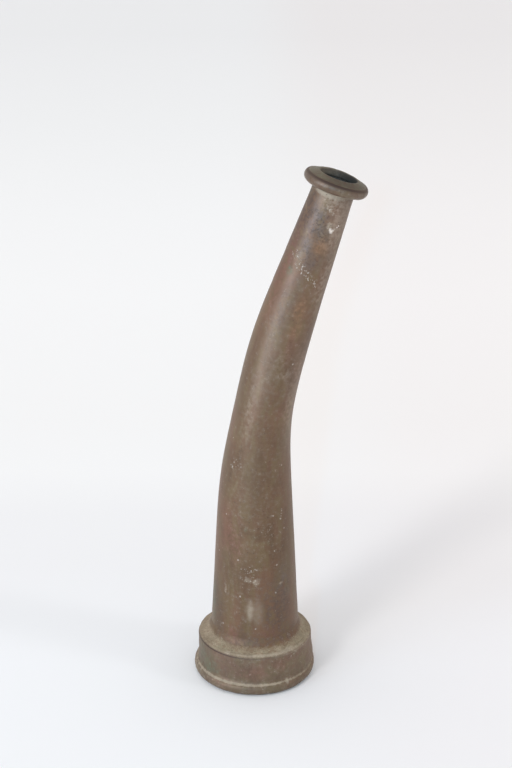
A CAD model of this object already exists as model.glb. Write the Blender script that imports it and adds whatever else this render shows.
"""A tarnished copper fire hose nozzle, standing on its hose coupling on a pale studio floor.

Every piece is turned: an outline of (radius, height) points is swept round the piece's own straight
axis, given its dents, pits and waves there, and only then bent or tilted into place. +Z is up and
the barrel bends towards +X. Lengths are in metres, except in the tables of places on the pieces,
where they are in millimetres. Angles round the axis are in degrees from +X, so -90 faces the camera
and 180 is the camera's left.
"""

import math
import random

import bpy
import numpy as np
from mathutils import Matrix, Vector, noise


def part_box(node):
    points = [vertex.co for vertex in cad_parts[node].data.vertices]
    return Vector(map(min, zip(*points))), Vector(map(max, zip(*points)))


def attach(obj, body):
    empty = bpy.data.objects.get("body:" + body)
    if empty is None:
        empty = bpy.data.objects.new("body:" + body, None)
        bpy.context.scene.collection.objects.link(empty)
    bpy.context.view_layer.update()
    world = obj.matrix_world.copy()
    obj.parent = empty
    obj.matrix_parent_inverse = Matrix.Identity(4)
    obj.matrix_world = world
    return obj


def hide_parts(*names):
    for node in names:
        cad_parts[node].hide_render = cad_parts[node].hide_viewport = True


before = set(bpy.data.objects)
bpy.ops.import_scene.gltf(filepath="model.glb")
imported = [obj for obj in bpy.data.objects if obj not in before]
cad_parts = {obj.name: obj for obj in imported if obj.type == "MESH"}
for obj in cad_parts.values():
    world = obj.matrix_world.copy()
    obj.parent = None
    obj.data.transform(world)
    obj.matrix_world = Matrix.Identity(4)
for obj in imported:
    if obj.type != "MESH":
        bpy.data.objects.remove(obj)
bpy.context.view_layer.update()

MM = 0.001

# ---- Dimensions ----

# The barrel. Places along it are lengths of its centreline, from the coupling's top.
WALL = 1.6 * MM
FOOT_RADIUS = 34.0 * MM
MOUTH_RADIUS = 15.2 * MM
TAPER_LENGTH = 358 * MM
BEND_START = 80 * MM
BEND_END = 287 * MM
BEND_ANGLE = math.radians(18.5)
FLATTENING = 0.104
FLATTENED_LENGTH = 44 * MM
FLANGE_WIDTH = 4.5 * MM

# Gaps between neighbours, along the axis and round the barrel's ends.
END_GAP = 0.3 * MM
ROUND_GAP = 0.25 * MM

# The hose coupling. Its height and its widest radius come from the frame.
COUPLING_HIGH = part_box("hose_coupling")[1]
COUPLING_TOP = COUPLING_HIGH.z
BEAD_RADIUS = COUPLING_HIGH.y
BEAD_HEIGHT = 9.6 * MM
SKIRT_RADIUS = 44.1 * MM
SHOULDER_Z = 33.2 * MM
COUPLING_BORE_RADIUS = FOOT_RADIUS + ROUND_GAP
RECESS_RADIUS = 40.3 * MM
LEDGE_Z = 27.5 * MM

THREAD_PITCH = 25.4 / 7.5 * MM
THREAD_ROOT_RADIUS = 39.0 * MM
THREAD_DEPTH = 2.0 * MM
THREAD_LOW = 2.0 * MM
THREAD_HIGH = 19.0 * MM
THREAD_FADE = 1.6 * MM

WASHER_LOW, WASHER_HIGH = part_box("hose_washer")
WASHER_BORE_RADIUS = 32.6 * MM

# The tip ring, on its own axis.
RING_RADIUS = 23.7 * MM
RING_BEAD_RADIUS = 4.3 * MM
RING_FACE_RADIUS = 21.8 * MM
RING_LIP_HEIGHT = 10.3 * MM
RING_BORE_RADIUS = MOUTH_RADIUS - WALL
RING_SOCKET_DEPTH = 5.2 * MM


# ---- Shapes and noise ----


def smoothstep(x, low, high):
    """Runs smoothly from 0 to 1 while x goes from low to high."""
    t = np.clip((x - low) / (high - low), 0, 1)
    return t * t * (3 - 2 * t)


def bump(x, centre, width):
    """A smooth hump of height 1 at the centre, that has fallen to 1/e one width away."""
    return np.exp(-(((x - centre) / width) ** 2))


def turn_from(angle, centre):
    """The turn from one angle to another, in degrees, from -180 to 180."""
    return (angle - centre + 180) % 360 - 180


def facing(angle, centre, width):
    """A mask that is 1 at one angle round the axis and fades away over that many degrees."""
    return bump(turn_from(angle, centre), 0, width)


def lumps(points, size, octaves, seed):
    """Smooth noise round 0, about -1 to 1, with lumps of about that size."""
    shift = Vector((seed, 1.7 * seed, -seed))
    return np.array(
        [noise.fractal(Vector(p) / size + shift, 1.0, 2.0, octaves) for p in points]
    )


def scattered(count, seed, low, high):
    """Random (angle, height, size) places for pits, with sizes from 0 to 1, mostly small."""
    dice = random.Random(seed)
    return [
        (dice.uniform(-180, 180), dice.uniform(low, high), dice.random() ** 2)
        for _ in range(count)
    ]


def line(*points, step):
    """Points along a polyline, no further apart than the step. The last point is left out."""
    out = []
    for (r0, h0), (r1, h1) in zip(points, points[1:]):
        count = max(1, math.ceil(math.hypot(r1 - r0, h1 - h0) / step))
        out += [(r0 + (r1 - r0) * i / count, h0 + (h1 - h0) * i / count) for i in range(count)]
    return out


def arc_point(centre_r, centre_h, radius, a):
    """The point of an arc at an angle in radians from outwards."""
    return (centre_r + radius * math.cos(a), centre_h + radius * math.sin(a))


def arc(centre_r, centre_h, radius, start, end, step):
    """Points along an arc, its angles in degrees from outwards. The last point is left out."""
    a0, a1 = math.radians(start), math.radians(end)
    count = max(2, math.ceil(abs(a1 - a0) * radius / step))
    angles = [a0 + (a1 - a0) * i / count for i in range(count)]
    return [arc_point(centre_r, centre_h, radius, a) for a in angles]


def curve(start, control, end, step):
    """Points along a quadratic Bezier curve. The last point is left out."""
    length = math.dist(start, control) + math.dist(control, end)
    count = max(2, math.ceil(length / step))
    out = []
    for i in range(count):
        t = i / count
        weights = ((1 - t) ** 2, 2 * t * (1 - t), t * t)
        points = zip(start, control, end)
        out.append(tuple(weights[0] * a + weights[1] * b + weights[2] * c for a, b, c in points))
    return out


def put(name, data):
    """A new object in the scene, showing that mesh, light or camera."""
    thing = bpy.data.objects.new(name, data)
    bpy.context.scene.collection.objects.link(thing)
    return thing


def from_polar(radius, angle, height):
    return np.stack([radius * np.cos(angle), radius * np.sin(angle), height], 1)


def turned(name, outline, relief, place, paint, facets):
    """A closed mesh swept round an axis from a closed outline, drawn up the outside.

    relief(radius, height, angle, point) is how far each point stands out along its normal.
    place(straight) moves points from the straight axis to the shared frame.
    paint(radius, height, angle, point) gives the masks {name: value} that the material reads. A
    mask that a piece leaves out counts as 0 there.
    """
    outline = np.array(outline)
    rings = len(outline)
    along = np.roll(outline, -1, 0) - np.roll(outline, 1, 0)
    along /= np.linalg.norm(along, axis=1)[:, None]
    turn = 2 * np.pi * np.arange(facets) / facets
    radius = np.repeat(outline[:, 0], facets)
    height = np.repeat(outline[:, 1], facets)
    angle = np.tile(turn, rings)
    point = from_polar(radius, angle, height)
    degrees = turn_from(np.degrees(angle), 0)
    out = relief(radius, height, degrees, point)
    radius_out = radius + out * np.repeat(along[:, 1], facets)
    height_out = height - out * np.repeat(along[:, 0], facets)
    straight = from_polar(radius_out, angle, height_out)

    index = np.arange(rings * facets).reshape(rings, facets)
    up, across = np.roll(index, -1, 0), np.roll(index, -1, 1)
    corner = np.roll(up, -1, 1)
    faces = np.stack([index, across, corner, up], -1).reshape(-1, 4)
    mesh = bpy.data.meshes.new(name)
    mesh.from_pydata(place(straight).tolist(), [], faces.tolist())
    mesh.shade_smooth()
    masks = {"straight": straight, **paint(radius, height, degrees, point)}
    for key, values in masks.items():
        kind, field = ("FLOAT_VECTOR", "vector") if np.ndim(values) == 2 else ("FLOAT", "value")
        layer = mesh.attributes.new(key, kind, "POINT")
        layer.data.foreach_set(field, np.asarray(values, np.float32).ravel())
    return put(name, mesh)


# ---- Places in the shared frame ----

# The barrel's centreline, at many stations along it.
STATIONS = np.linspace(-20 * MM, TAPER_LENGTH + 20 * MM, 2000)
LEANS = BEND_ANGLE * smoothstep(STATIONS, BEND_START, BEND_END)


def running_total(rate):
    """The integral of a rate along the stations, which is 0 at station 0."""
    total = np.concatenate([[0], np.cumsum((rate[1:] + rate[:-1]) / 2 * np.diff(STATIONS))])
    return total - np.interp(0, STATIONS, total)


CENTRE_X = running_total(np.sin(LEANS))
CENTRE_Z = running_total(np.cos(LEANS)) + COUPLING_TOP


def bend(straight):
    """Bends straight points along the centreline, pressed oval at the middle of the bend."""
    s = straight[:, 2]
    lean = np.interp(s, STATIONS, LEANS)
    flattened = FLATTENING * bump(s, (BEND_START + BEND_END) / 2, FLATTENED_LENGTH)
    in_plane = straight[:, 0] * (1 - flattened)
    x = np.interp(s, STATIONS, CENTRE_X) + in_plane * np.cos(lean)
    z = np.interp(s, STATIONS, CENTRE_Z) - in_plane * np.sin(lean)
    return np.stack([x, straight[:, 1] * (1 + flattened), z], 1)


def on_tip(straight):
    """Carries points from the tip ring's own axis to the end of the barrel."""
    x0 = np.interp(TAPER_LENGTH, STATIONS, CENTRE_X)
    z0 = np.interp(TAPER_LENGTH, STATIONS, CENTRE_Z)
    c, s = math.cos(BEND_ANGLE), math.sin(BEND_ANGLE)
    x = x0 + straight[:, 0] * c + straight[:, 2] * s
    z = z0 - straight[:, 0] * s + straight[:, 2] * c
    return np.stack([x, straight[:, 1], z], 1)


def upright(straight):
    """Leaves points where they are, for pieces on the frame's own axis."""
    return straight


def cone_radius(s):
    """The barrel's outer radius at a place along it."""
    along = np.clip(s / TAPER_LENGTH, 0, 1)
    return FOOT_RADIUS + (MOUTH_RADIUS - FOOT_RADIUS) * along


# ---- Dents and patches ----


def dents(angle, s, radius, places):
    """How far the wall is pushed out at every point by the dents in a table."""
    out = np.zeros_like(s)
    for centre, at, width, length, depth in places:
        across = np.radians(turn_from(angle, centre)) * radius
        out -= depth * MM * bump(across, 0, width * MM) * bump(s, at * MM, length * MM)
    return out


def pits(angle, s, radius, places, size, depth):
    """How far the surface is pushed out, so always in, at every point by scattered round pits."""
    out = np.zeros_like(s)
    for centre, at, share in places:
        width = size * (0.4 + share)
        near = np.abs(s - at) < 3 * width
        across = np.radians(turn_from(angle[near], centre)) * radius[near]
        out[near] -= depth * (0.3 + share) * bump(np.hypot(across, s[near] - at), 0, width)
    return out


def regions(angle, s, radius, places):
    """A mask of the soft patches in a table, as strong as each one's strength."""
    mask = np.zeros_like(s)
    for centre, at, width, length, strength in places:
        across = np.radians(turn_from(angle, centre)) * radius / (width * MM)
        along = (s - at * MM) / (length * MM)
        mask = np.maximum(mask, strength * np.exp(-(across**2 + along**2) ** 1.5))
    return mask


def all_regions(angle, s, radius, table):
    """The masks {name: value} of a table {name: patches}."""
    return {name: regions(angle, s, radius, places) for name, places in table.items()}


def trails(angle, s, radius, streaks):
    """A mask from 0 to 1 of soft streaks, each ((angle, place), (angle, place), width)."""
    mask = np.zeros_like(s)
    for (angle0, s0), (angle1, s1), width in streaks:
        across = np.radians(turn_from(angle, angle0)) * radius
        along = s - s0 * MM
        reach = np.radians(turn_from(angle1, angle0)) * radius
        rise = s1 * MM - s0 * MM
        share = np.clip((across * reach + along * rise) / (reach**2 + rise**2), 0, 1)
        away = np.hypot(across - share * reach, along - share * rise)
        mask = np.maximum(mask, bump(away, 0, width * MM))
    return mask


def front_of_foot(angle):
    """1 round the front of the barrel's foot, falling to 0 at the sides."""
    return 1 - smoothstep(np.abs(turn_from(angle, -84)), 28, 75)


def foot_crust(angle, way):
    """The crust where the barrel meets the coupling, as a mask from 0 to 1.

    way runs from the barrel's wall, where it is minus the height, out over the fillet and the
    shoulder, where it is the distance from the wall. The front is cleaner than the sides.
    """
    start = -1 * MM + 3.2 * MM * front_of_foot(angle)
    return smoothstep(way, start - 4 * MM, start + 5 * MM)


# ---- Barrel ----

# Dents: (angle, place along, width across, length along, depth). A negative depth is a swelling.
DENTS = [
    (-62, 333, 3.2, 2.6, 0.75),
    (-52, 337, 3, 1.6, 0.35),
    (-75, 341, 6, 7, 0.35),
    (-105, 296, 7, 9, 0.2),
    (-38, 150, 9, 12, 0.25),
    (-98, 30, 3.8, 6.5, -0.5),
    (95, 210, 12, 16, 0.45),
    (40, 90, 9, 11, 0.35),
    (150, 300, 6, 9, 0.25),
]

# Patches of its tarnish: (angle, place along, width across, length along, strength).
PATCHES = {
    "red": [
        (-70, 240, 6, 12, 0.4),
        (-38, 232, 8, 26, 0.4),
        (-132, 88, 9, 12, 0.75),
        (-119, 78, 6, 11, 0.6),
        (-121, 8, 5, 5, 0.85),
        (-72, 9, 9, 7, 0.5),
        (-150, 292, 7, 36, 0.8),
        (-62, 340, 3, 6, 0.3),
        (-52, 192, 6, 8, 0.4),
        (-140, 108, 6, 12, 0.45),
        (60, 140, 12, 30, 0.7),
        (110, 60, 9, 22, 0.6),
        (150, 240, 8, 26, 0.6),
    ],
    "orange": [
        (-80, 319, 6.5, 6, 1.2),
        (-79, 271, 4.5, 9, 0.8),
        (-74, 256, 5, 7, 0.5),
        (-168, 262, 5, 22, 0.3),
        (35, 300, 6, 12, 0.7),
        (95, 190, 9, 14, 0.6),
    ],
    "olive": [
        (-96, 90, 8, 9, 0.4),
        (-76, 85, 9, 2, 0.8),
        (-131, 172, 8, 16, 0.5),
        (-145, 196, 6, 14, 0.4),
        (-134, 128, 7, 14, 0.4),
        (20, 60, 9, 20, 0.6),
        (130, 130, 12, 26, 0.7),
        (75, 260, 8, 20, 0.6),
    ],
    "slate": [
        (-122, 343, 5, 7, 0.8),
        (-106, 335, 8, 12, 1),
        (-84, 327, 5, 6, 1),
        (-112, 316, 5, 12, 0.8),
        (-90, 308, 7, 8, 0.6),
        (-112, 268, 6, 34, 0.4),
        (-45, 46, 7, 22, 0.5),
        (165, 60, 10, 26, 0.7),
        (85, 330, 7, 14, 0.8),
    ],
    "umber": [
        (-158, 330, 10, 34, 1.8),
        (-60, 26, 14, 30, 1),
        (-150, 22, 9, 24, 0.6),
        (120, 20, 22, 20, 0.6),
    ],
    "tan": [
        (-72, 350, 12, 6, 1),
        (-42, 348, 8, 9, 0.8),
        (-50, 336, 9, 24, 0.8),
        (-38, 297, 6, 26, 0.8),
        (-28, 205, 9, 44, 0.6),
        (-82, 228, 8, 12, 0.2),
        (-44, 226, 7, 24, 0.25),
        (-122, 190, 5, 26, 0.3),
        (-66, 221, 5, 5, 0.5),
        (125, 205, 7, 10, 0.6),
    ],
    "faded": [
        (-46, 340, 8, 26, 0.3),
        (-42, 226, 8, 30, 0.12),
        (60, 250, 12, 40, 0.15),
    ],
    "pale": [
        (-98, 55.5, 3.6, 3, 0.65),
        (-89, 54.5, 3, 3.4, 0.6),
        (-134, 44, 1.2, 3.5, 0.7),
        (-51, 50, 2.5, 1.2, 0.6),
        (-76, 335.5, 2.6, 3.4, 0.7),
        (-102, 356, 14, 2.2, 1.4),
        (70, 100, 6, 9, 0.5),
    ],
    "verdigris": [
        (-165, 30, 7, 16, 0.7),
        (-130, 295.5, 2.2, 3.2, 1.4),
        (-104, 96, 1.2, 1.6, 0.4),
        (30, 20, 7, 12, 0.6),
        (170, 352, 5, 4, 0.8),
    ],
    "grains": [
        (-99, 64, 6, 3, 0.85),
        (-97, 57, 6, 4, 0.5),
        (-72, 93, 9, 9, 0.25),
        (-80, 228, 9, 12, 0.12),
        (-85, 345, 7, 5, 0.35),
        (-128, 146, 6, 5, 0.45),
        (90, 60, 12, 14, 0.5),
        (55, 180, 9, 12, 0.4),
    ],
}

# Places rubbed pale and shiny, as patches.
RUBBED = [
    (-96, 30, 2.8, 8, 1.3),
    (-87, 28, 4.5, 10, 0.5),
    (-108, 228, 6, 36, 0.2),
    (-104, 140, 7, 36, 0.12),
]

# Two streaks of pale grains, and the pale rim above the dents near the tip.
GRAIN_TRAILS = [((-132, 308), (-100, 299), 2.6), ((-96, 299), (-65, 291), 2.2)]
RIM_TRAILS = [((-110, 352), (-92, 346), 0.6), ((-92, 346), (-71, 344.5), 0.6)]


def barrel():
    """The bent tapered tube, from the flange inside the coupling up into the tip ring's socket."""
    flange_top = LEDGE_Z - END_GAP - COUPLING_TOP
    flange_low = flange_top - WALL
    flange_radius = FOOT_RADIUS + FLANGE_WIDTH
    mouth = TAPER_LENGTH + RING_SOCKET_DEPTH - END_GAP
    inner_foot = FOOT_RADIUS - WALL
    inner_mouth = MOUTH_RADIUS - WALL
    fine, coarse = 1.25 * MM, 4 * MM
    lip = WALL / 2
    flare = 2 * MM
    outer_flare = (FOOT_RADIUS, flange_top + flare)
    inner_flare = (inner_foot, flange_top + flare)
    outline = (
        arc(flange_radius - lip, flange_low + lip, lip, -90, 90, 0.4 * MM)
        + curve((flange_radius - lip, flange_top), (FOOT_RADIUS, flange_top), outer_flare, 0.5 * MM)
        + line(outer_flare, (FOOT_RADIUS, 0), step=coarse)
        + line((FOOT_RADIUS, 0), (MOUTH_RADIUS, TAPER_LENGTH), step=fine)
        + line((MOUTH_RADIUS, TAPER_LENGTH), (MOUTH_RADIUS, mouth), step=coarse)
        + line((MOUTH_RADIUS, mouth), (inner_mouth, mouth), step=0.8 * MM)
        + line((inner_mouth, mouth), (inner_mouth, TAPER_LENGTH), (inner_foot, 0), step=coarse)
        + line((inner_foot, 0), inner_flare, step=coarse)
        + curve(inner_flare, (inner_foot, flange_low), (FOOT_RADIUS + flare, flange_low), 0.5 * MM)
    )
    small_pits = scattered(count=140, seed=7, low=4 * MM, high=TAPER_LENGTH - 6 * MM)

    def relief(radius, s, angle, point):
        # smooth at both ends, where it meets the fillets
        free = smoothstep(s, 1 * MM, 14 * MM)
        free *= 1 - smoothstep(s, TAPER_LENGTH - 8 * MM, TAPER_LENGTH)
        drawn_out = point / np.array([1, 1, 2.2])
        pushed = dents(angle, s, cone_radius(s), DENTS)
        pushed += 0.30 * MM * lumps(drawn_out, 42 * MM, octaves=2, seed=3.1) * free
        pushed += 0.10 * MM * lumps(drawn_out, 11 * MM, octaves=2, seed=8.4) * free
        outside = radius > cone_radius(s) - WALL / 2
        skin = pits(angle, s, radius, small_pits, size=1.4 * MM, depth=0.16 * MM)
        # the inner wall's normal points to the axis, so that a dent moves both walls the same way
        return np.where(outside, pushed + skin * free, -pushed)

    def paint(radius, s, angle, point):
        outside = smoothstep(radius, cone_radius(s) - WALL, cone_radius(s) - WALL / 2)
        under_ring = smoothstep(s, TAPER_LENGTH - 3.5 * MM, TAPER_LENGTH - 1.5 * MM)
        under_ring *= 0.35 + 0.65 * facing(angle, -105, 48)
        foot = bump(s, 0, 12 * MM) * front_of_foot(angle)
        grains = trails(angle, s, radius, GRAIN_TRAILS)
        rim = trails(angle, s, radius, RIM_TRAILS)
        masks = all_regions(angle, s, radius, PATCHES)
        masks["crust"] = np.maximum(under_ring, foot_crust(angle, -s))
        masks["grains"] = np.maximum(1.5 * grains, masks["grains"])
        masks["pale"] = np.maximum(0.7 * rim, masks["pale"])
        masks["umber"] = np.maximum(masks["umber"], 0.8 * foot)
        masks["wear"] = regions(angle, s, radius, RUBBED)
        masks = {name: mask * outside for name, mask in masks.items()}
        masks["faded"] += 0.1 * s / TAPER_LENGTH
        return masks | {"soot": 1 - outside}

    return turned("barrel_copper", outline, relief, bend, paint, facets=232)


# ---- Hose coupling ----

# Patches of its tarnish: (angle, height, width across, length up, strength).
COUPLING_PATCHES = {
    "verdigris": [(-143, 15, 11, 8, 0.65), (-158, 20, 9, 14, 0.5)],
    "umber": [(-119, 22, 9, 9, 0.5)],
    "red": [
        (-112, 22, 10, 6, 0.3),
        (-93, 18, 16, 6, 0.6),
        (-62, 24, 8, 6, 0.4),
        (-128, 8, 12, 3, 0.5),
    ],
    "olive": [(-25, 20, 15, 9, 0.8), (-5, 8, 14, 5, 0.8)],
    "pale": [(-120, 33, 2.4, 1.2, 1.0), (-52, 33.5, 7, 1.6, 0.9), (-57, 8.6, 1.6, 2.2, 0.9)],
    "grains": [(-45, 31, 22, 6, 0.3)],
}

# Lumps of crust that have grown on the shoulder's edge, as patches.
GROWN = [(-120, 33, 2, 1, 1), (-50, 33.5, 5, 1.2, 1)]


def thread_height(angle, height):
    """The hose thread's ridge, from 0 at the root to 1 at the crest. It fades out at both ends."""
    turns = (height - THREAD_LOW) / THREAD_PITCH - angle / 360
    pitches_from_crest = np.abs((turns + 0.5) % 1 - 0.5)
    ridge = 1 - smoothstep(pitches_from_crest, 0.09, 0.40)
    fade = smoothstep(height, THREAD_LOW, THREAD_LOW + THREAD_FADE)
    fade *= 1 - smoothstep(height, THREAD_HIGH - THREAD_FADE, THREAD_HIGH)
    return ridge * fade


def coupling_outline():
    """Up the bead, the cove and the skirt, over the shoulder, and down the bore and the thread."""
    fine, middling = 0.55 * MM, 1.0 * MM
    bore = COUPLING_BORE_RADIUS
    bead_round = 4.4 * MM
    cove_angle = 55
    cove_end = (SKIRT_RADIUS, BEAD_HEIGHT + 2.6 * MM)
    edge_round = 2.8 * MM
    mouth_round = 1.4 * MM
    root = THREAD_ROOT_RADIUS
    mouth_radius = root + 2 * MM
    bead_low = (BEAD_RADIUS - bead_round, bead_round)
    bead_high = (BEAD_RADIUS - bead_round, BEAD_HEIGHT - bead_round)
    cove_start = arc_point(*bead_high, bead_round, math.radians(cove_angle))
    slope = math.degrees(math.atan2(COUPLING_TOP - SHOULDER_Z, SKIRT_RADIUS - bore))
    edge = (SKIRT_RADIUS - edge_round, SHOULDER_Z - edge_round)
    edge_end = 90 - slope
    shoulder_start = arc_point(*edge, edge_round, math.radians(edge_end))
    recess_low = (RECESS_RADIUS, WASHER_LOW.z - END_GAP)
    thread_end = (root, recess_low[1] - 1.2 * MM)
    thread_start = (root, mouth_round)
    return (
        arc(*bead_low, bead_round, -90, 0, fine)
        + line((BEAD_RADIUS, bead_low[1]), (BEAD_RADIUS, bead_high[1]), step=fine)
        + arc(*bead_high, bead_round, 0, cove_angle, fine)
        + curve(cove_start, (SKIRT_RADIUS, BEAD_HEIGHT), cove_end, fine)
        + line(cove_end, (SKIRT_RADIUS, edge[1]), step=fine)
        + arc(*edge, edge_round, 0, edge_end, 0.3 * MM)
        + line(shoulder_start, (bore, COUPLING_TOP), step=fine)
        + line((bore, COUPLING_TOP), (bore, LEDGE_Z), step=middling)
        + line((bore, LEDGE_Z), (RECESS_RADIUS, LEDGE_Z), recess_low, step=middling)
        + line(recess_low, thread_end, step=0.4 * MM)
        + line(thread_end, thread_start, step=0.27 * MM)
        + curve(thread_start, (root + 0.3 * MM, 0), (mouth_radius, 0), 0.3 * MM)
        + line((mouth_radius, 0), (bead_low[0], 0), step=middling)
    )


def hose_coupling():
    """The cast collar round the barrel's foot, threaded inside for a hose."""
    casting_pits = scattered(count=170, seed=21, low=1 * MM, high=36 * MM)

    def relief(radius, h, angle, point):
        outside = radius > THREAD_ROOT_RADIUS + 3.4 * MM
        shoulder = (h > SHOULDER_Z) & (radius > COUPLING_BORE_RADIUS + 0.5 * MM)
        threaded = np.abs(radius - THREAD_ROOT_RADIUS) < 0.2 * MM
        bead = 1 - smoothstep(h, BEAD_HEIGHT - 1 * MM, BEAD_HEIGHT + 1 * MM)

        # cast unevenness and wear take away a little metal nearly everywhere
        out = -0.16 * MM - 0.22 * MM * lumps(point, 9 * MM, octaves=3, seed=1.3)
        out += 0.07 * MM * lumps(point, 2.4 * MM, octaves=3, seed=5.7)
        out += pits(angle, h, radius, casting_pits, size=0.9 * MM, depth=0.22 * MM)

        # the bead is nicked, chipped along its low edge and rubbed down on its right side
        out -= 0.9 * MM * facing(angle, -58, 2.2) * bump(h, 7.6 * MM, 1.6 * MM)
        chipped = bead * (1 - smoothstep(h, 1 * MM, 5 * MM))
        chipped *= 0.35 + 0.65 * facing(angle, -115, 45)
        chips = np.clip(lumps(point, 3.2 * MM, octaves=2, seed=9.2) - 0.25, 0, 1)
        out -= 0.85 * MM * chips * chipped
        out -= 0.9 * MM * facing(angle, -8, 34) * bead

        # the skirt widens downwards on the right, and its edge has a knock and some grown crust
        out += 1.5 * MM * facing(angle, 0, 38) * smoothstep(h, 27 * MM, 12 * MM) * (1 - bead)
        out -= 0.5 * MM * facing(angle, -20, 9) * bump(h, 30 * MM, 3 * MM)
        out += 0.3 * MM * regions(angle, h, radius, GROWN)

        out = np.where(outside | shoulder, out, 0)
        out = np.where(h < 1 * MM, np.minimum(out, 0), out)
        return out + np.where(threaded, THREAD_DEPTH * thread_height(angle, h), 0)

    def paint(radius, h, angle, point):
        outside = smoothstep(radius, THREAD_ROOT_RADIUS + 2.6 * MM, THREAD_ROOT_RADIUS + 3.6 * MM)
        shoulder = smoothstep(h, SHOULDER_Z - 2.2 * MM, SHOULDER_Z)
        shoulder *= radius > COUPLING_BORE_RADIUS
        inside = 1 - np.maximum(outside, shoulder)
        front = facing(angle, -88, 32)
        cove_side = facing(angle, -110, 55)
        cove_line = bump(h, BEAD_HEIGHT - 0.5 * MM, 0.8 * MM) * outside * (0.5 + 0.5 * cove_side)
        pale_cove = bump(h, BEAD_HEIGHT - 0.6 * MM, 0.6 * MM) * outside * (0.25 + 0.75 * cove_side)
        bead = 1 - smoothstep(h, BEAD_HEIGHT - 2 * MM, BEAD_HEIGHT)
        rim = bump(h, SHOULDER_Z - 1.9 * MM, 0.6 * MM) * outside
        rim_line = bump(radius, SKIRT_RADIUS - 2 * MM, 1.2 * MM) * shoulder
        crust = foot_crust(angle, radius - FOOT_RADIUS) * shoulder + cove_line + 0.25 * inside
        by_fillet = 0.8 * front_of_foot(angle) * shoulder
        by_fillet *= 1 - smoothstep(radius, 35 * MM, 39 * MM)
        patches = all_regions(angle, h, radius, COUPLING_PATCHES)
        return {
            "crust": np.clip(crust, 0, 1),
            "verdigris": np.maximum(patches["verdigris"] * outside, 0.55 * cove_line * front),
            "umber": np.maximum(by_fillet, patches["umber"] * outside),
            "red": patches["red"] * outside,
            "olive": patches["olive"] * outside,
            "pale": np.maximum.reduce([
                patches["pale"],
                0.5 * bead * facing(angle, -165, 25),
                1.2 * rim_line * facing(angle, -75, 45),
                1.5 * pale_cove,
            ]),
            "grains": patches["grains"],
            "grime": rim * np.maximum(facing(angle, -135, 45), 0.5 * front),
            "wear": 0.7 * rim * facing(angle, -35, 40),
            "soot": 0.55 * inside,
        }

    return turned("coupling_brass", coupling_outline(), relief, upright, paint, facets=360)


# ---- Hose washer ----


def hose_washer():
    """The flat rubber ring, in the recess above the thread, that a hose is screwed against."""
    inner, outer = WASHER_BORE_RADIUS, WASHER_HIGH.y
    low, high = WASHER_LOW.z, WASHER_HIGH.z
    edge = 1.1 * MM
    fine, step = 0.3 * MM, 0.6 * MM
    outline = (
        arc(outer - edge, low + edge, edge, -90, 0, fine)
        + line((outer, low + edge), (outer, high - edge), step=step)
        + arc(outer - edge, high - edge, edge, 0, 90, fine)
        + line((outer - edge, high), (inner + edge, high), step=step)
        + arc(inner + edge, high - edge, edge, 90, 180, fine)
        + line((inner, high - edge), (inner, low + edge), step=step)
        + arc(inner + edge, low + edge, edge, 180, 270, fine)
        + line((inner + edge, low), (outer - edge, low), step=step)
    )

    def relief(radius, h, angle, point):
        cracks = np.clip(lumps(point * [1, 1, 0.2], 1.6 * MM, octaves=2, seed=4.4) - 0.35, 0, 1)
        # hoses have pressed a groove into its underside
        pressed = 0.12 * MM * bump(radius, 37 * MM, 0.9 * MM) * (h < low + 0.1 * MM)
        uneven = 0.08 * MM * lumps(point, 6 * MM, octaves=2, seed=2.2)
        return -0.10 * MM - uneven - 0.3 * MM * cracks - pressed

    def paint(radius, h, angle, point):
        return {}

    return turned("washer_rubber", outline, relief, upright, paint, facets=240)


# ---- Tip ring ----

# Patches on it: (angle, height, width across, length up, strength).
RING_PATCHES = {
    "umber": [(-122, 9.4, 5, 2, 0.9), (170, 8.6, 8, 2, 0.5)],
    "pale": [(-178, 8, 1.2, 0.6, 1.0)],
}


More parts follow.
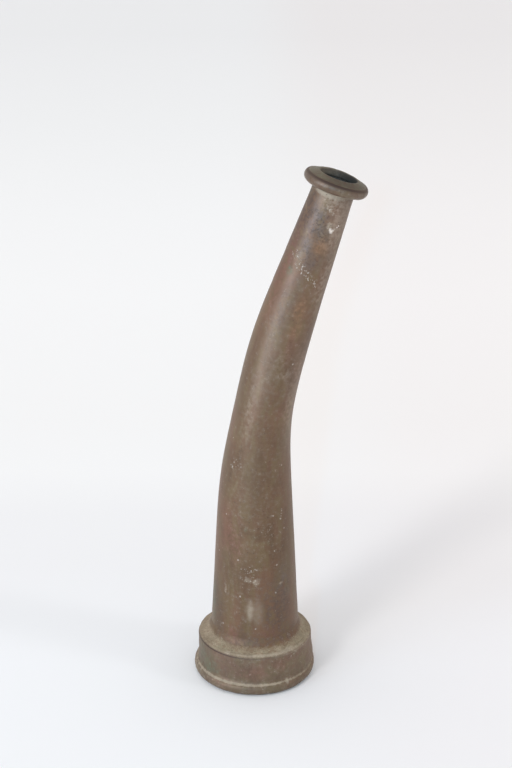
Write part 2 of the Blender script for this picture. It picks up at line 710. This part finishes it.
def tip_ring():
    """The beaded ring round the mouth, with its coned face, its bore and the barrel's socket."""
    step = 0.34 * MM
    bead = (RING_RADIUS - RING_BEAD_RADIUS, RING_BEAD_RADIUS)
    crease_angle = math.degrees(math.acos((RING_FACE_RADIUS - bead[0]) / RING_BEAD_RADIUS))
    crease = (RING_FACE_RADIUS, RING_BEAD_RADIUS * (1 + math.sin(math.radians(crease_angle))))
    face_start = (crease[0] - 0.9 * MM, crease[1] + 0.25 * MM)
    socket = MOUTH_RADIUS + ROUND_GAP
    bore = RING_BORE_RADIUS
    lip_round = 1.1 * MM
    lip = (bore + lip_round, RING_LIP_HEIGHT - lip_round * 1.1)
    outline = (
        arc(*bead, RING_BEAD_RADIUS, -90, crease_angle, step)
        + curve(crease, (crease[0] - 0.45 * MM, crease[1] - 0.15 * MM), face_start, 0.15 * MM)
        + line(face_start, (lip[0] + 0.5 * MM, RING_LIP_HEIGHT - 0.1 * MM), step=step)
        + arc(*lip, lip_round, 78, 180, 0.2 * MM)
        + line((bore, lip[1]), (bore, RING_SOCKET_DEPTH), step=0.5 * MM)
        + line((bore, RING_SOCKET_DEPTH), (socket, RING_SOCKET_DEPTH), (socket, 0), step=0.6 * MM)
        + line((socket, 0), (bead[0], 0), step=step)
    )
    ring_pits = scattered(count=70, seed=33, low=0, high=RING_LIP_HEIGHT)

    def relief(radius, h, angle, point):
        shown = radius > bore + 0.6 * MM
        worn = -0.10 * MM - 0.12 * MM * lumps(point, 8 * MM, octaves=3, seed=6.6)
        worn += 0.05 * MM * lumps(point, 2 * MM, octaves=3, seed=2.9)
        worn += pits(angle, h, radius, ring_pits, size=0.6 * MM, depth=0.12 * MM)
        worn = np.minimum(worn, 0)
        knock = 0.35 * MM * facing(angle, -40, 7) * bump(radius, RING_RADIUS, 1.2 * MM)
        return np.where(shown, worn - knock, 0.3 * worn)

    def paint(radius, h, angle, point):
        inside = 1 - smoothstep(radius, bore + 0.1 * MM, bore + 0.9 * MM)
        face = smoothstep(h, crease[1] - 0.2 * MM, crease[1] + 0.5 * MM)
        dark_band = bump(h, crease[1] - 0.6 * MM, 1.2 * MM) * (radius > crease[0] - 0.6 * MM)
        dark_band *= 0.6 + 0.4 * facing(angle, -95, 45)
        deep = 1 - smoothstep(h, RING_SOCKET_DEPTH, RING_LIP_HEIGHT - 1 * MM)
        # the bore is dusty on its left and sooty on its right
        dusty = smoothstep(-np.cos(np.radians(angle)), -0.9, 0.9)
        patches = all_regions(angle, h, radius, RING_PATCHES)
        return {
            "olive": face * (1 - inside),
            "verdigris": 0.8 * face * (1 - inside),
            "umber": patches["umber"] * face,
            "grime": np.clip(dark_band + 0.10 + face * (0.2 + 0.4 * facing(angle, -75, 55)), 0, 1),
            "slate": (1 - face) * bump(h, 5.2 * MM, 2.0 * MM) * 0.5,
            "crust": 0.25 * face * (1 - inside),
            "pale": np.maximum(0.8 * patches["pale"], 1.2 * inside * dusty),
            "soot": inside * (0.85 - 0.6 * dusty + 0.15 * deep),
        }

    return turned("tip_ring_brass", outline, relief, on_tip, paint, facets=264)


# ---- Solder fillets ----


def foot_solder_fillet():
    """The soldered joint between the barrel and the coupling's shoulder."""
    width, height = 6.6 * MM, 8.0 * MM
    coarse = 0.8 * MM
    slope = (COUPLING_TOP - SHOULDER_Z) / (SKIRT_RADIUS - FOOT_RADIUS)
    corner = (FOOT_RADIUS, COUPLING_TOP)
    toe = (corner[0] + width, corner[1] - slope * width - 0.6 * MM)
    top = (float(cone_radius(height)) - 0.1 * MM, corner[1] + height)
    root = (FOOT_RADIUS - 0.6 * MM, COUPLING_TOP - 1.2 * MM)
    outline = (
        curve(toe, corner, top, 0.3 * MM)
        + line(top, root, (toe[0], toe[1] - 0.4 * MM), toe, step=coarse)
    )

    def relief(radius, h, angle, point):
        # smooth at both ends, where it meets its neighbours
        free = smoothstep(h, toe[1], toe[1] + 1.2 * MM)
        free *= 1 - smoothstep(h, top[1] - 4 * MM, top[1])
        uneven = 0.22 * MM * lumps(point, 8 * MM, octaves=3, seed=7.1)
        uneven += 0.08 * MM * lumps(point, 2.4 * MM, octaves=2, seed=3.3)
        return (0.12 * MM + uneven) * free

    def paint(radius, h, angle, point):
        way = radius - FOOT_RADIUS - np.maximum(h - COUPLING_TOP, 0)
        up = smoothstep(h, COUPLING_TOP - 1 * MM, top[1])
        crust = foot_crust(angle, way)
        return {
            "crust": crust,
            "verdigris": 0.6 * crust * facing(angle, -138, 20),
            "red": 0.8 * facing(angle, -119, 9) * up,
            "umber": 0.8 * front_of_foot(angle) * (1 - smoothstep(way, 0, 4 * MM)),
            "grains": 0.2 * facing(angle, -45, 25),
        }

    return turned("foot_fillet_solder", outline, relief, upright, paint, facets=300)


def tip_solder_fillet():
    """The soldered joint between the barrel and the underside of the tip ring."""
    inner = MOUTH_RADIUS - 0.1 * MM
    reach = 1.55 * MM
    top = 0.1 * MM
    foot = (inner, -reach - 0.2 * MM)
    outline = (
        curve(foot, (inner + 0.3 * MM, -0.3 * MM), (inner + reach, top), 0.2 * MM)
        + line((inner + reach, top), (inner, top), foot, step=0.6 * MM)
    )

    def relief(radius, h, angle, point):
        thicker = 0.22 * MM * facing(angle, -105, 30)
        return 0.10 * MM * lumps(point, 3 * MM, octaves=3, seed=4.9) + thicker

    def paint(radius, h, angle, point):
        return {
            "crust": 0.55 + 0.45 * facing(angle, -105, 50),
            "pale": 1.3 * facing(angle, -102, 55),
            "faded": np.full_like(h, 0.1),
        }

    return turned("tip_fillet_solder", outline, relief, on_tip, paint, facets=240)


# ---- Material building ----


class Nodes:
    """Builds a node tree. Its methods add nodes, and most of them return an output socket."""

    def __init__(self, owner):
        owner.use_nodes = True
        self.tree = owner.node_tree

    def plug(self, socket, value):
        """Links an output to an input socket, or sets the input to a constant."""
        if isinstance(value, bpy.types.NodeSocket):
            self.tree.links.new(value, socket)
        else:
            socket.default_value = value

    def add(self, kind, inputs=(), **settings):
        node = self.tree.nodes.new("ShaderNode" + kind)
        for key, value in settings.items():
            setattr(node, key, value)
        for key, value in dict(inputs).items():
            self.plug(node.inputs[key], value)
        return node

    def math(self, operation, a, b):
        return self.add("Math", {0: a, 1: b}, operation=operation).outputs[0]

    def times(self, a, b):
        return self.math("MULTIPLY", a, b)

    def plus(self, a, b):
        return self.math("ADD", a, b)

    def most(self, a, b):
        return self.math("MAXIMUM", a, b)

    def total(self, *terms):
        """The sum of (value, weight) terms."""
        result = 0.0
        for value, weight in terms:
            result = self.plus(result, self.times(value, weight))
        return result

    def vector(self, operation, a, b):
        return self.add("VectorMath", {0: a, 1: b}, operation=operation).outputs[0]

    def scaled(self, vector, factor):
        inputs = {0: vector, "Scale": factor}
        return self.add("VectorMath", inputs, operation="SCALE").outputs[0]

    def steps(self, value, low, high, to_low=0.0, to_high=1.0):
        """Runs smoothly from one number to another while the value goes from low to high."""
        inputs = {"Value": value, "From Min": low, "From Max": high}
        inputs |= {"To Min": to_low, "To Max": to_high}
        node = self.add("MapRange", inputs, interpolation_type="SMOOTHSTEP")
        return node.outputs["Result"]

    def mix(self, share, a, b, blend_type="MIX"):
        """Mixes two colours."""
        sockets = {0: share, 6: rgba(a), 7: rgba(b)}
        node = self.add("Mix", sockets, data_type="RGBA", blend_type=blend_type)
        return node.outputs[2]

    def blend(self, share, a, b):
        """Mixes two numbers."""
        return self.add("Mix", {0: share, 2: a, 3: b}, data_type="FLOAT").outputs[0]


def rgba(colour):
    return colour if isinstance(colour, bpy.types.NodeSocket) else (*colour, 1.0)


class Shader(Nodes):
    """Builds a material."""

    def __init__(self, name):
        self.material = bpy.data.materials.new(name)
        super().__init__(self.material)

    def finish(self, inputs):
        """Sets the surface's inputs and returns the material."""
        surface = self.tree.nodes["Principled BSDF"]
        for key, value in inputs.items():
            self.plug(surface.inputs[key], value)
        return self.material


class Finish(Shader):
    """A material laid out by the place on a piece before it was bent or tilted."""

    def __init__(self, name):
        super().__init__(name)
        self.place = self.attribute("straight", "Vector")

    def attribute(self, name, output="Fac"):
        return self.add("Attribute", attribute_name=name).outputs[output]

    def noise(self, size, detail, roughness, stretch=(1, 1, 1), twist=0.0):
        place = self.add("Mapping", {"Vector": self.place, "Scale": stretch}).outputs[0]
        inputs = {"Vector": place, "Scale": 1 / size, "Detail": detail}
        inputs |= {"Roughness": roughness, "Distortion": twist}
        return self.add("TexNoise", inputs).outputs["Fac"]

    def warped(self, amount, size):
        """The place on the piece, moved about by noise, so that spots have ragged edges."""
        inputs = {"Vector": self.place, "Scale": 1 / size, "Detail": 2.0}
        wobble = self.add("TexNoise", inputs).outputs["Color"]
        centred = self.vector("SUBTRACT", wobble, (0.5, 0.5, 0.5))
        return self.vector("ADD", self.place, self.scaled(centred, 2 * amount))

    def specks(self, spacing, radius, share, seed):
        """Scattered small round spots, on that share of the cells."""
        shift = (seed, 2 * seed, 3 * seed)
        place = self.vector("ADD", self.warped(0.5 * MM, 1.2 * MM), shift)
        cells = self.add("TexVoronoi", {"Vector": place, "Scale": 1 / spacing})
        near = self.steps(cells.outputs["Distance"], radius / spacing, 0.5 * radius / spacing)
        parts = self.add("SeparateColor", {0: cells.outputs["Color"]})
        return self.times(near, self.math("LESS_THAN", parts.outputs[0], share))

    def spots(self, places):
        """One mask with a ragged spot at each (angle, height, surface radius, spot radius)."""
        place = self.warped(0.8 * MM, 2.2 * MM)
        mask = 0.0
        for angle, height, radius, size in places:
            a = math.radians(angle)
            centre = (radius * math.cos(a), radius * math.sin(a), height)
            away = self.add("VectorMath", {0: place, 1: centre}, operation="DISTANCE")
            mask = self.most(mask, self.steps(away.outputs["Value"], 1.1 * size, 0.2 * size))
        return mask

    def bumps(self, height, depth):
        """The normals of a bumpy surface, where a height of 1 stands out by that depth."""
        return self.add("Bump", {"Height": height, "Distance": depth}).outputs[0]


# ---- Tarnished metals ----

# The tone and the strength of each kind of tarnish, in the order that they are laid on.
TARNISH = {
    "umber": ((0.096, 0.061, 0.045), 0.75),
    "red": ((0.198, 0.084, 0.058), 0.70),
    "orange": ((0.250, 0.130, 0.066), 0.75),
    "olive": ((0.164, 0.118, 0.060), 0.75),
    "tan": ((0.320, 0.248, 0.188), 0.75),
    "verdigris": ((0.118, 0.142, 0.088), 0.80),
}
FADED = (0.300, 0.230, 0.185)
SLATE = (0.130, 0.102, 0.090)
DARK_BROWN = (0.075, 0.050, 0.036)
GRIME = (0.060, 0.036, 0.027)
TAN_CRUST = (0.280, 0.218, 0.142)
GREEN_CRUST = (0.268, 0.222, 0.145)
PALE_DUST = (0.360, 0.295, 0.220)
GRAIN = (0.540, 0.480, 0.410)
SOOT = (0.030, 0.034, 0.033)
BARE_COPPER = (0.90, 0.82, 0.74)

# Each metal's main, reddish, olive and greyish brown.
COPPER_TONES = (
    (0.144, 0.083, 0.044),
    (0.154, 0.081, 0.045),
    (0.134, 0.086, 0.042),
    (0.164, 0.118, 0.084),
)
BRASS_TONES = (
    (0.160, 0.105, 0.066),
    (0.169, 0.101, 0.066),
    (0.145, 0.106, 0.062),
    (0.182, 0.144, 0.108),
)

# Small marks on the barrel: (angle, place along, spot radius).
PALE_FLECKS = [
    (-57, 229.5, 0.9), (-110.5, 41, 1), (-60.5, 43.2, 0.9), (-137, 14, 0.9),
    (-89, 15, 0.9), (-45.5, 110.5, 0.6), (-46, 108.7, 0.6), (-46.5, 107, 0.6),
    (-47.5, 105, 0.6), (-48.5, 103, 1), (-61.5, 107, 0.9), (-41.5, 94, 0.9),
    (-138.5, 105, 0.8), (-57.5, 66, 1), (-60.5, 78, 0.8), (-153.5, 72, 0.7),
    (-114.5, 71, 0.9), (-136, 143, 1), (-147, 164, 0.6), (-44, 147, 0.9),
    (-175, 180, 0.7), (-164, 215, 0.7),
]
BRIGHT_FLECKS = [
    (-70, 332.6, 1.8), (-66, 331.8, 2.1), (-62, 332.6, 1.6), (-58, 333.8, 1),
    (-53, 335.2, 0.9), (-49, 336.6, 0.8),
]


def on_barrel(places):
    """The marks in a table, for Finish.spots."""
    return [(angle, s * MM, float(cone_radius(s * MM)), size * MM) for angle, s, size in places]


class Metal(Finish):
    """Brown-tarnished metal. The pieces' masks say where its tarnish, crust and wear lie."""

    def __init__(self, name, tones, streak_stretch, line_stretch):
        super().__init__(name)
        self.tones = tones
        self.patches = self.noise(30 * MM, detail=4.0, roughness=0.6, stretch=(1, 1, 0.55), twist=0.5)
        self.streaks = self.noise(8 * MM, detail=5.0, roughness=0.6, stretch=streak_stretch, twist=0.3)
        self.mottle = self.noise(3 * MM, detail=5.0, roughness=0.56)
        self.lines = self.noise(1.3 * MM, detail=2.0, roughness=0.5, stretch=line_stretch)
        self.grain = self.noise(0.8 * MM, detail=3.0, roughness=0.6)

    def blotchy(self, mask):
        """A piece's mask, thinned out in blotches."""
        return self.times(self.attribute(mask), self.steps(self.mottle, 0.38, 0.60, 0.15, 1.0))

    def ragged(self, mask):
        """A piece's mask with its edges broken up by two noises."""
        texture = self.plus(self.mottle, self.times(self.grain, 0.7))
        shifted = self.plus(self.attribute(mask), self.times(texture, 1.3))
        return self.steps(shifted, 1.25, 2.05)

    def tarnish(self):
        """The metal's colour, with its patches of tarnish."""
        main, red, olive, grey = self.tones
        colour = self.mix(self.steps(self.patches, 0.38, 0.62), main, red)
        colour = self.mix(self.steps(self.streaks, 0.42, 0.64), colour, olive)
        colour = self.mix(self.steps(self.mottle, 0.44, 0.72, 0.0, 0.55), colour, grey)
        colour = self.mix(self.attribute("faded"), colour, FADED)
        for mask, (tone, strength) in TARNISH.items():
            colour = self.mix(self.times(self.blotchy(mask), strength), colour, tone)
        return colour

    def slate(self, colour):
        """A colour with slate-grey smears and dark freckles laid on it."""
        mask = self.attribute("slate")
        smears = self.noise(4.5 * MM, detail=6.0, roughness=0.72, stretch=(1, 1, 0.7), twist=0.6)
        freckles = self.noise(1.8 * MM, detail=3.0, roughness=0.6)
        smeared = self.times(mask, self.steps(smears, 0.40, 0.60, 0.10, 1.0))
        freckled = self.times(mask, self.steps(freckles, 0.51, 0.62, 0.0, 0.7))
        return self.mix(freckled, self.mix(smeared, colour, SLATE), DARK_BROWN)

    def crust_tone(self):
        """The colour of a crust of verdigris and dried dirt."""
        tone = self.mix(self.steps(self.patches, 0.42, 0.58), TAN_CRUST, GREEN_CRUST)
        tone = self.mix(self.steps(self.streaks, 0.50, 0.68, 0.0, 0.45), tone, PALE_DUST)
        return self.mix(self.steps(self.mottle, 0.42, 0.68, 0.0, 0.75), tone, self.tones[0])

    def varied(self, colour, coarseness):
        """A colour made lighter and darker by all the noises."""
        fine = 0.55 * coarseness
        factor = 1.0
        for texture, strength in (
            (self.patches, 0.7),
            (self.streaks, 0.7),
            (self.mottle, 1.2 * fine),
            (self.lines, fine),
            (self.grain, fine),
        ):
            swing = self.times(self.math("SUBTRACT", texture, 0.5), strength)
            factor = self.plus(factor, swing)
        return self.scaled(colour, factor)

    def grains(self):
        """A mask of pale grains."""
        sand = self.steps(self.noise(1.5 * MM, detail=3.0, roughness=0.6), 0.55, 0.64)
        return self.times(sand, self.ragged("grains"))


def patina(name, tones, roughness, coarseness, streak_stretch, line_stretch, flecked=False):
    """A finish of tarnished metal. A coarser one has stronger fine noise and deeper bumps."""
    metal = Metal(name, tones, streak_stretch, line_stretch)
    crust = metal.ragged("crust")
    pale = metal.ragged("pale")
    colour = metal.slate(metal.tarnish())
    colour = metal.mix(metal.times(crust, 0.9), colour, metal.crust_tone())
    colour = metal.mix(metal.times(pale, 0.7), colour, PALE_DUST)
    colour = metal.varied(colour, coarseness)

    # dark pits, scattered specks of dust and pale grains
    pits_share = metal.blend(crust, 0.60, 0.25)
    dark_pits = metal.times(metal.specks(3.4 * MM, 0.55 * MM, share=0.50, seed=0.57), pits_share)
    specks = metal.times(metal.specks(5.0 * MM, 0.50 * MM, share=0.25, seed=0.31), 0.45)
    dust = metal.times(metal.specks(2.2 * MM, 0.30 * MM, share=0.20, seed=0.83), 0.25)
    grains = metal.grains()
    colour = metal.mix(dark_pits, colour, DARK_BROWN)
    colour = metal.mix(metal.most(specks, dust), colour, PALE_DUST)
    colour = metal.mix(metal.times(grains, 0.8), colour, GRAIN)
    height = metal.total(
        (metal.mottle, 0.7 * coarseness),
        (metal.grain, 0.25 * coarseness),
        (metal.lines, 0.22 * coarseness),
        (dark_pits, -1.0),
        (crust, 0.35),
        (metal.most(specks, grains), 1.0),
    )

    if flecked:
        flecks = metal.spots(on_barrel(PALE_FLECKS))
        bright = metal.spots(on_barrel(BRIGHT_FLECKS))
        colour = metal.mix(metal.times(flecks, 0.6), colour, GRAIN)
        colour = metal.mix(metal.times(bright, 0.85), colour, BARE_COPPER)
        height = metal.plus(height, metal.times(flecks, 0.8))

    # grime, wear and soot lie over everything else
    grime = metal.attribute("grime")
    worn = metal.times(metal.attribute("wear"), metal.steps(metal.mottle, 0.30, 0.60, 0.7, 1.0))
    soot = metal.attribute("soot")
    colour = metal.mix(grime, colour, GRIME)
    colour = metal.mix(metal.times(worn, 0.60), colour, PALE_DUST)
    colour = metal.mix(soot, colour, SOOT)

    dull = metal.most(crust, pale)
    rough = metal.steps(metal.mottle, 0.35, 0.70, roughness - 0.05, roughness + 0.10)
    rough = metal.blend(dull, rough, 0.70)
    rough = metal.blend(grime, rough, 0.75)
    rough = metal.blend(soot, rough, 0.75)
    metallic = metal.blend(soot, metal.blend(dull, 0.40, 0.10), 0.2)
    normal = metal.bumps(height, 0.14 * MM)
    return metal.finish(
        {"Base Color": colour, "Roughness": rough, "Metallic": metallic, "Normal": normal}
    )


def rubber():
    """Black rubber with a pale bloom and some dust."""
    aged = Finish("aged_rubber_finish")
    clouds = aged.noise(6 * MM, detail=4.0, roughness=0.6)
    grain = aged.noise(0.8 * MM, detail=3.0, roughness=0.6)
    bloom = aged.steps(clouds, 0.48, 0.70)
    dust = aged.specks(3 * MM, 0.4 * MM, share=0.3, seed=0.2)
    colour = aged.mix(bloom, (0.020, 0.019, 0.018), (0.062, 0.056, 0.050))
    colour = aged.mix(aged.times(dust, 0.4), colour, (0.22, 0.19, 0.15))
    rough = aged.blend(bloom, 0.68, 0.9)
    normal = aged.bumps(aged.plus(grain, aged.times(clouds, 0.6)), 0.12 * MM)
    return aged.finish({"Base Color": colour, "Roughness": rough, "Normal": normal})


copper_finish = patina(
    "tarnished_copper_finish", COPPER_TONES, roughness=0.46, coarseness=0.4,
    streak_stretch=(1, 1, 0.35), line_stretch=(0.2, 0.2, 1), flecked=True,
)
brass_finish = patina(
    "tarnished_brass_finish", BRASS_TONES, roughness=0.52, coarseness=0.7,
    streak_stretch=(1, 1, 0.8), line_stretch=(1, 1, 0.3),
)
ring_finish = patina(
    "polished_brass_finish", BRASS_TONES, roughness=0.34, coarseness=0.6,
    streak_stretch=(1, 1, 1), line_stretch=(0.3, 0.3, 1),
)
solder_finish = patina(
    "old_solder_finish", COPPER_TONES, roughness=0.52, coarseness=0.7,
    streak_stretch=(1, 1, 0.8), line_stretch=(1, 1, 1),
)
rubber_finish = rubber()

# ---- Pieces on the frame ----

PIECES = [
    (barrel(), "barrel", "tarnished_copper", copper_finish),
    (hose_coupling(), "hose_coupling", "tarnished_brass", brass_finish),
    (tip_ring(), "tip_ring", "tarnished_brass", ring_finish),
    (hose_washer(), "hose_washer", "aged_rubber", rubber_finish),
    (foot_solder_fillet(), "foot_solder_fillet", "old_solder", solder_finish),
    (tip_solder_fillet(), "tip_solder_fillet", "old_solder", solder_finish),
]
for piece, node, slot, finish in PIECES:
    piece.data.materials.append(finish)
    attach(piece, "root")
    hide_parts(node)

# ---- Floor, light and camera ----

# Tones of the floor, and the ends of the ramp that they lie on, in metres behind the nozzle.
FLOOR_FRONT, FLOOR_BACK = -0.5, 3.5
FLOOR_TONES = [
    (0.0, (0.874, 0.882, 0.896)),
    (0.16, (0.846, 0.843, 0.850)),
    (0.26, (0.846, 0.841, 0.845)),
    (0.356, (0.878, 0.874, 0.870)),
    (0.48, (0.872, 0.864, 0.856)),
    (0.90, (0.880, 0.872, 0.865)),
    (1.26, (0.864, 0.858, 0.852)),
    (1.90, (0.824, 0.820, 0.814)),
    (2.90, (0.786, 0.780, 0.777)),
]


def paper():
    """Pale card: bluish near the nozzle, whiter behind it, greyer far off, warmer to the right."""
    card = Shader("pale_paper")
    place = card.add("TexCoord").outputs["Object"]
    split = card.add("SeparateXYZ", {0: place})
    sockets = {"Value": split.outputs["Y"], "From Min": FLOOR_FRONT, "From Max": FLOOR_BACK}
    reach = card.add("MapRange", sockets).outputs[0]
    tones = card.add("ValToRGB", {0: reach})
    ramp = tones.color_ramp
    nearest, *between, farthest = [
        ((y - FLOOR_FRONT) / (FLOOR_BACK - FLOOR_FRONT), (*tone, 1)) for y, tone in FLOOR_TONES
    ]
    for element, (position, tone) in zip(ramp.elements, (nearest, farthest)):
        element.position = position
        element.color = tone
    for position, tone in between:
        ramp.elements.new(position).color = tone
    to_right = card.steps(split.outputs["X"], -0.06, 0.20)
    tinted = card.mix(to_right, tones.outputs[0], (0.988, 0.962, 0.955), blend_type="MULTIPLY")
    return card.finish({"Base Color": tinted, "Roughness": 0.9, "Specular IOR Level": 0.0})


def floor():
    half = 12.0
    mesh = bpy.data.meshes.new("studio_floor")
    corners = [(-half, -half, 0), (half, -half, 0), (half, half, 0), (-half, half, 0)]
    mesh.from_pydata(corners, [], [(0, 1, 2, 3)])
    mesh.materials.append(paper())
    plane = put("studio_floor", mesh)


def sun(name, azimuth, elevation, strength, spread, colour=(1, 1, 1)):
    """A soft distant light. Its azimuth is where it stands, in degrees from +X."""
    light = bpy.data.lights.new(name, "SUN")
    light.energy = strength
    light.angle = math.radians(spread)
    light.color = colour
    a, e = math.radians(azimuth), math.radians(elevation)
    towards = Vector((math.cos(a) * math.cos(e), math.sin(a) * math.cos(e), math.sin(e)))
    put(name, light).rotation_euler = towards.to_track_quat("Z", "Y").to_euler()


def lamps():
    sun("key_light", azimuth=-127, elevation=33, strength=0.70, spread=13)
    sun("low_window", azimuth=-142, elevation=4.5, strength=1.65, spread=33, colour=(0.80, 0.97, 1.20))
    sun("side_light", azimuth=-21, elevation=31, strength=0.31, spread=9)
    sun("camera_light", azimuth=-96, elevation=15.2, strength=0.50, spread=1.5, colour=(0.12, 0.60, 1.0))


def room():
    """Light from a pale room, which is darker towards the right and the camera."""
    world = bpy.data.worlds.new("studio_world")
    nodes = Nodes(world)
    sockets = {0: nodes.add("TexCoord").outputs["Generated"], 1: (0.80, -0.60, 0.0)}
    across = nodes.add("VectorMath", sockets, operation="DOT_PRODUCT").outputs["Value"]
    sockets = {"Value": across, "From Min": -1, "To Min": 0.97, "To Max": 0.69}
    background = world.node_tree.nodes["Background"]
    nodes.plug(background.inputs["Color"], (1.0, 0.980, 0.968, 1))
    nodes.plug(background.inputs["Strength"], nodes.add("MapRange", sockets).outputs[0])
    bpy.context.scene.world = world


def camera():
    data = bpy.data.cameras.new("camera")
    data.lens = 75
    data.sensor_width = 36
    data.clip_start = 0.05
    data.clip_end = 60
    eye = put("camera", data)
    eye.location = (0.0008, -1.0919, 0.6797)
    pitch_down = 21.98
    eye.rotation_euler = (math.radians(90 - pitch_down), 0, 0)
    bpy.context.scene.camera = eye
    bpy.context.scene.view_settings.view_transform = "Standard"


floor()
lamps()
room()
camera()
